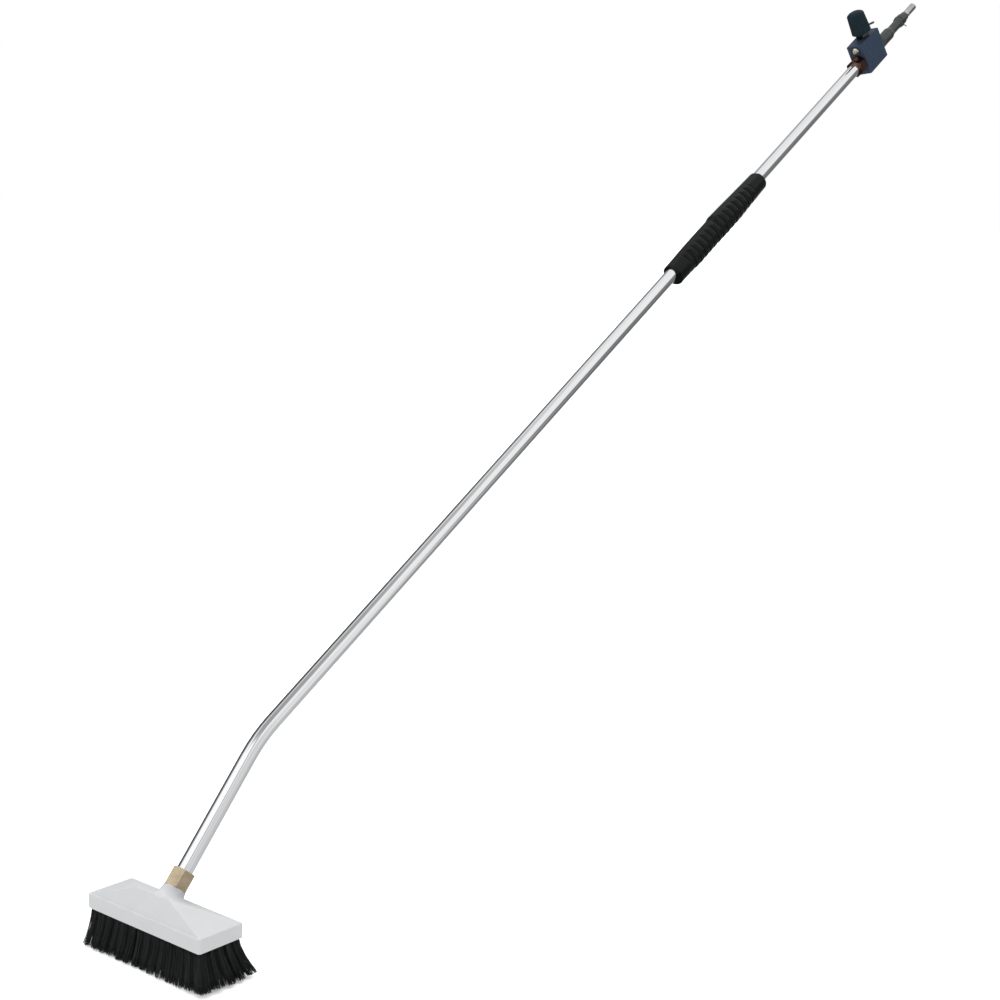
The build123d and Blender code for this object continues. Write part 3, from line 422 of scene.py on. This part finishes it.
def materials():
    """Every material, and the CAD nodes that each one goes on."""
    upper = turned_to("valve_swivel")
    lower = turned_to("brush_swivel")
    knob = turned_to("knob_turn")
    rings = (3, 3, 700)
    return (
        (white_plastic(), ("brush_cover",)),
        (board_plastic(), ("brush_back",)),
        (black_rubber(), ("cover_gasket", "lower_union_seal", "upper_union_seal", "port_seal",
                          "spindle_seal", "inlet_seal")),
        (metal("steel", (0.36, 0.36, 0.35), (0.56, 0.56, 0.55), rough=(0.22, 0.36), grain=500),
         ("plate_screws", "tuft_anchors")),
        # the two brass nuts get strong edge settings: painted highlight lines along their edges, on
        # top of rubbed brass
        (metal("light_brass", (0.40, 0.31, 0.20), (0.56, 0.47, 0.33), rough=(0.12, 0.22), grain=1,
               turn=lower, stretch=rings, spots=0.35, edge_wear_and_highlight=0.9, edge_highlight_gain=1.75),
         ("lower_union_nut", "neck_insert")),
        (metal("brown_brass", (0.085, 0.045, 0.034), (0.170, 0.095, 0.070), rough=(0.12, 0.22),
               grain=1, turn=upper, stretch=rings, spots=0.25, edge_wear_and_highlight=0.9, edge_highlight_gain=4.0),
         ("upper_union_nut", "valve_adaptor")),
        (metal("valve_brass", (0.45, 0.32, 0.16), (0.66, 0.50, 0.28), rough=(0.2, 0.3), grain=1,
               turn=knob, stretch=rings), ("valve_seat", "valve_needle")),
        (polished_tube(), ("lance_tube", "lower_tube_collar", "upper_tube_collar")),
        (navy_coat(), ("valve_block",)),
        (metal("nickel", (0.62, 0.61, 0.56), (0.86, 0.84, 0.78), rough=(0.12, 0.22), grain=1,
               turn=upper, stretch=rings), ("port_plug",)),
        # the gland's strong edge settings paint glints along its edges
        (metal("dark_nickel", (0.045, 0.045, 0.043), (0.090, 0.088, 0.084), rough=(0.14, 0.24),
               grain=1, turn=knob, stretch=rings, edge_wear_and_highlight=0.8, edge_highlight_gain=4.0), ("valve_gland",)),
        (metal("spring_steel", (0.06, 0.06, 0.06), (0.14, 0.14, 0.14), rough=(0.2, 0.3), grain=500),
         ("retaining_clip",)),
        (metal("spindle_steel", (0.42, 0.42, 0.41), (0.62, 0.62, 0.60), rough=(0.14, 0.24), grain=1,
               turn=knob, stretch=rings), ("valve_spindle",)),
        (knob_plastic(), ("knob",)),
        (dark_coat(), ("knob_pin", "inlet_body", "nipple_sleeve")),
        (metal("chrome", (0.46, 0.46, 0.46), (0.66, 0.66, 0.66), rough=(0.06, 0.12), grain=1,
               turn=upper, stretch=rings, spots=0.1, edge_wear_and_highlight=0.2), ("inlet_nipple",)),
    )


def paint_nodes():
    """Puts the materials on the CAD nodes."""
    for made, names in materials():
        for name in names:
            slots = frame["nodes"][name].data.materials
            slots.clear()
            slots.append(made)


def new_mesh(name, points, faces, material, smooth=True):
    """Object from arrays of points and of faces, linked to the scene."""
    mesh = bpy.data.meshes.new(name)
    mesh.from_pydata([tuple(p) for p in points], [], [tuple(f) for f in faces])
    mesh.polygons.foreach_set("use_smooth", [smooth] * len(mesh.polygons))
    mesh.materials.append(material)
    mesh.update()
    made = bpy.data.objects.new(name, mesh)
    bpy.context.scene.collection.objects.link(made)
    return made


def smooth_step(value):
    """0 below 0, 1 above 1, smooth between."""
    t = np.clip(value, 0.0, 1.0)
    return t * t * (3 - 2 * t)


def profile(table, s):
    """Radius along the grip, from a short table of places and radii."""
    places, radii = zip(*table)
    return np.interp(s, places, radii)


def rib_relief(s):
    """How far the grip lies under its ribs' crests: round ribs with narrow grooves."""
    pitch = (RIB_LAST - RIB_FIRST) / RIB_COUNT
    across = 2 * (((s - RIB_FIRST) / pitch) % 1.0) - 1
    ribbed = smooth_step((s - RIB_FIRST) / RIB_FADE) * smooth_step((RIB_LAST - s) / RIB_FADE)
    crest = RIB_ROUND_SHARE * across ** 2
    groove = (1 - RIB_ROUND_SHARE) * across ** RIB_GROOVE_POWER
    return RIB_DEPTH * (crest + groove) * ribbed


def grip_radii(s, angle):
    """Radius of the grip's outside at every place along it and every angle round it."""
    facing = np.sin(angle + math.radians(GRIP_TURN))
    finger = smooth_step((facing - FINGER_FROM) / FINGER_BLEND)[None, :]
    palm_radius = profile(GRIP_PALM, s)[:, None]
    finger_radius = profile(GRIP_FINGER, s)[:, None] - rib_relief(s)[:, None]
    radius = palm_radius * (1 - finger) + finger_radius * finger
    return radius + GRIP_OFFSET * np.sin(angle)


def looped_rings(rings, sides):
    """Faces between rings of points, the last ring joined to the first to close the bore."""
    ring, side = np.meshgrid(np.arange(rings), np.arange(sides), indexing="ij")
    following = (side + 1) % sides
    above = (ring + 1) % rings
    corner = ring * sides
    return np.stack([corner + side, corner + following, above * sides + following,
                     above * sides + side], axis=-1).reshape(-1, 4)


def build_grip(material):
    """Rubber sleeve: smooth on the palm side with a step, ribbed under the fingers."""
    steps = int(GRIP_LENGTH / GRIP_STEP) + 1
    s = np.linspace(0, GRIP_LENGTH, steps)
    angle = np.arange(GRIP_SIDES) * 2 * math.pi / GRIP_SIDES
    bore = np.full((1, GRIP_SIDES), GRIP_BORE)
    radius = np.vstack([bore, grip_radii(s, angle), bore])
    along = np.concatenate([[0.0], s, [GRIP_LENGTH]])
    x = radius * np.cos(angle)
    y = radius * np.sin(angle)
    z = np.repeat(along[:, None] + GRIP_START, GRIP_SIDES, axis=1)
    local = np.stack([x, y, z], axis=-1).reshape(-1, 3) * MM
    matrix = np.array(joint_frame("valve_swivel"))
    points = local @ matrix[:3, :3].T + matrix[:3, 3]
    rings = len(along)
    made = new_mesh("grip_sleeve", points, looped_rings(rings, GRIP_SIDES), material)
    # the two end faces and the bore are shaded flat, so that the ends stay crisp
    ends = np.isin(np.repeat(np.arange(rings), GRIP_SIDES), (0, rings - 2, rings - 1))
    made.data.polygons.foreach_set("use_smooth", ~ends)
    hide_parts("grip")
    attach(made, "lance")


def tuft_flare(x):
    """How far a tuft's tips lean out along the brush; the far end is splayed by use."""
    share = x / ((TUFT_COLUMNS - 1) / 2 * TUFT_PITCH_X)
    if share > 0:
        return FLARE_RIGHT * share ** FLARE_RIGHT_POWER
    return -FLARE_LEFT * (-share) ** FLARE_LEFT_POWER


def strand_lines(random, x, y):
    """Root, place of the tip and height of the tip of every strand of one tuft."""
    turn = random.uniform(0, 2 * math.pi, STRANDS)
    share = np.sqrt(random.uniform(0, 1, STRANDS))
    way = np.stack([np.cos(turn), np.sin(turn)], axis=-1)
    cell = way * share[:, None] / np.max(np.abs(way), axis=1)[:, None]
    root = np.array([x, y]) + cell * TUFT_ROOT_HALF
    root[:, 0] = np.clip(root[:, 0], -ROOT_REACH, ROOT_REACH)
    lean = np.array([tuft_flare(x), y * (FLARE_Y - 1)]) + random.normal(0, TUFT_LEAN, 2)
    splay = 1 + SPLAY * max(x, 0) / ROOT_REACH
    spread = TUFT_TIP_RADIUS * random.uniform(*TIP_RADIUS_RANGE) * splay
    tip = np.array([x, y]) + lean + way * (share * spread)[:, None]
    tip += random.normal(0, STRAND_STRAY, (STRANDS, 2))
    aside = np.linalg.norm(tip - root, axis=1)
    fall = np.sqrt(BRISTLE_LENGTH ** 2 - np.minimum(aside, LARGEST_LEAN) ** 2)
    tuft_loss = random.uniform(0, TUFT_WEAR) + ROUNDED_TUFT_END * share ** 2
    fall -= tuft_loss + random.exponential(STRAND_WEAR, STRANDS)
    low = np.maximum(TUFT_ROOT_Z - fall, BRISTLE_TIP_Z)
    return root, tip, low


def row_points(row, random):
    """Points of one row's strands: a fan of tapered strands for each tuft, ring by ring."""
    y = (row - (TUFT_ROWS - 1) / 2) * TUFT_PITCH_Y
    corner_turn = np.arange(STRAND_SIDES) * 2 * math.pi / STRAND_SIDES
    corners = np.stack([np.cos(corner_turn), np.sin(corner_turn)], axis=-1)
    levels = np.linspace(0, 1, STRAND_RINGS)
    blocks = []
    for column in range(TUFT_COLUMNS):
        x = (column - (TUFT_COLUMNS - 1) / 2) * TUFT_PITCH_X
        root, tip, low = strand_lines(random, x, y)
        for level in levels:
            middle = root + (tip - root) * level ** STRAND_BEND
            height = TUFT_ROOT_Z + (low - TUFT_ROOT_Z) * level
            ring = middle[:, None, :] + corners[None] * STRAND_RADIUS * (1 - STRAND_TAPER * level)
            tall = np.repeat(height[:, None, None], STRAND_SIDES, axis=1)
            blocks.append(np.concatenate([ring, tall], axis=-1))
    points = np.stack(blocks).reshape(TUFT_COLUMNS, STRAND_RINGS, STRANDS, STRAND_SIDES, 3)
    return points.transpose(0, 2, 1, 3, 4).reshape(-1, 3) * MM + np.array(brush_frame())[:3, 3]


def row_faces():
    """Faces of one row's strands: the sides, and both ends closed."""
    strand = []
    for ring in range(STRAND_RINGS - 1):
        for side in range(STRAND_SIDES):
            after = (side + 1) % STRAND_SIDES
            low_ring = (ring + 1) * STRAND_SIDES
            strand.append((ring * STRAND_SIDES + side, low_ring + side, low_ring + after,
                           ring * STRAND_SIDES + after))
    per_strand = STRAND_RINGS * STRAND_SIDES
    starts = np.arange(TUFT_COLUMNS * STRANDS) * per_strand
    faces = (np.array(strand)[None] + starts[:, None, None]).reshape(-1, 4).tolist()
    last = per_strand - STRAND_SIDES
    faces += [tuple(int(start) + last + i for i in reversed(range(STRAND_SIDES))) for start in starts]
    faces += [tuple(int(start) + i for i in range(STRAND_SIDES)) for start in starts]
    return faces


def build_row(row, random, material):
    """One row of tufts."""
    made = new_mesh(f"bristles_{row + 1}", row_points(row, random), row_faces(), material)
    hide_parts(f"bristle_row_{row + 1}")
    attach(made, "brush_head")


def build_bristles():
    """All five rows, from one seeded source of chance."""
    random = np.random.default_rng(RANDOM_SEED)
    material = bristle_black()
    for row in range(TUFT_ROWS):
        build_row(row, random, material)


def direction(azimuth, elevation):
    """Unit vector from an azimuth measured from +X towards +Y and an elevation, in degrees."""
    a = math.radians(azimuth)
    e = math.radians(elevation)
    return Vector((math.cos(a) * math.cos(e), math.sin(a) * math.cos(e), math.sin(e)))


def studio_level(graph):
    """Brightness of the surroundings: sky, ground, soft patches and an upright gap."""
    way = graph.add("ShaderNodeTexCoord").outputs["Generated"]
    height = graph.add("ShaderNodeSeparateXYZ", (("Vector", way),)).outputs[2]

    def along(vector):
        node = graph.add("ShaderNodeVectorMath", ((0, way), (1, vector)), operation="DOT_PRODUCT")
        return node.outputs["Value"]

    level = graph.maths("ADD", graph.ranged(height, *SKY_FADE, 0, SKY_LEVEL - GROUND_LEVEL),
                        graph.ranged(height, *DEEP_FADE, DEEP_LEVEL, GROUND_LEVEL))
    for azimuth, elevation, full, outer, brightness in SKY_PATCHES:
        share = graph.ranged(along(direction(azimuth, elevation)),
                             math.cos(math.radians(outer)), math.cos(math.radians(full)))
        change = graph.maths("MULTIPLY", share, graph.maths("SUBTRACT", brightness, level))
        level = graph.maths("ADD", level, change)
    off = graph.maths("ABSOLUTE", along(direction(GAP_AZIMUTH + 90, 0)))
    share = graph.maths("MULTIPLY", graph.ranged(off, GAP_WIDTH, GAP_WIDTH * GAP_CORE),
                        graph.ranged(along(direction(GAP_AZIMUTH, 0)), *GAP_FACING_FADE))
    share = graph.maths("MULTIPLY", share, graph.ranged(height, *GAP_HEIGHT_FADE))
    return graph.maths("ADD", level,
                       graph.maths("MULTIPLY", share, graph.maths("SUBTRACT", GAP_LEVEL, level)))


def studio_world():
    """Surroundings that the gloss sees; the camera itself sees plain white instead."""
    world = bpy.data.worlds.new("studio")
    bpy.context.scene.world = world
    world.use_nodes = True
    graph = Graph(world.node_tree)
    level = studio_level(graph)
    background = world.node_tree.nodes["Background"]
    seen = graph.add("ShaderNodeBackground", (("Color", (1, 1, 1, 1)), ("Strength", 1.0)))
    world.node_tree.links.new(level, background.inputs["Strength"])
    background.inputs["Color"].default_value = (0.985, 0.993, 1.0, 1.0)
    straight = graph.add("ShaderNodeLightPath").outputs["Is Camera Ray"]
    mixed = graph.add("ShaderNodeMixShader", ((0, straight), (1, background.outputs[0]),
                                              (2, seen.outputs[0])))
    output = world.node_tree.nodes["World Output"]
    world.node_tree.links.new(mixed.outputs[0], output.inputs["Surface"])


def soft_sun(name, azimuth, elevation, strength, width):
    """Wide soft light that the gloss doesn't see."""
    data = bpy.data.lights.new(name, "SUN")
    data.energy = strength
    data.angle = math.radians(width)
    made = bpy.data.objects.new(name, data)
    made.rotation_euler = direction(azimuth, elevation).to_track_quat("Z", "Y").to_euler()
    made.visible_glossy = False
    bpy.context.scene.collection.objects.link(made)


def build_floor():
    """Plain pale floor, with a little light of its own so that it matches the background."""
    half = FLOOR_SIZE * MM / 2
    made, graph, shader = new_material("pale_floor", {
        "Roughness": 0.9,
        "Specular IOR Level": 0.1,
        "Emission Strength": FLOOR_GLOW,
        "Emission Color": (1, 1, 1, 1),
    })
    speck = graph.noise(graph.mapped(), 40, 3)
    wire(graph, shader, colour=graph.mixed(speck, (0.90, 0.90, 0.90), (0.93, 0.93, 0.93)))
    corners = [(-half, -half, 0), (half, -half, 0), (half, half, 0), (-half, half, 0)]
    floor = new_mesh("floor", corners, [(0, 1, 2, 3)], made, smooth=False)
    floor.visible_glossy = False


def build_camera():
    """Camera at the photograph's place and angle."""
    a = math.radians(CAMERA_AZIMUTH)
    e = math.radians(CAMERA_ELEVATION)
    roll = math.radians(CAMERA_ROLL)
    back = Vector((math.sin(a) * math.cos(e), -math.cos(a) * math.cos(e), math.sin(e)))
    right = Vector((math.cos(a), math.sin(a), 0))
    up = back.cross(right)
    x = right * math.cos(roll) + up * math.sin(roll)
    y = up * math.cos(roll) - right * math.sin(roll)
    data = bpy.data.cameras.new("camera")
    data.lens = CAMERA_LENS
    data.sensor_width = CAMERA_SENSOR
    data.clip_end = 200
    made = bpy.data.objects.new("camera", data)
    turn = Matrix((x, y, back)).transposed().to_4x4()
    made.matrix_world = brush_frame() @ Matrix.Translation(Vector(CAMERA_PLACE) * MM) @ turn
    bpy.context.scene.collection.objects.link(made)
    bpy.context.scene.camera = made


def build_studio():
    """World, floor, lights, camera and plain view settings."""
    studio_world()
    build_floor()
    soft_sun("key_light", *KEY_LIGHT)
    soft_sun("top_light", *TOP_LIGHT)
    build_camera()
    bpy.context.scene.view_settings.view_transform = "Standard"


paint_nodes()
build_grip(grip_rubber())
build_bristles()
build_studio()
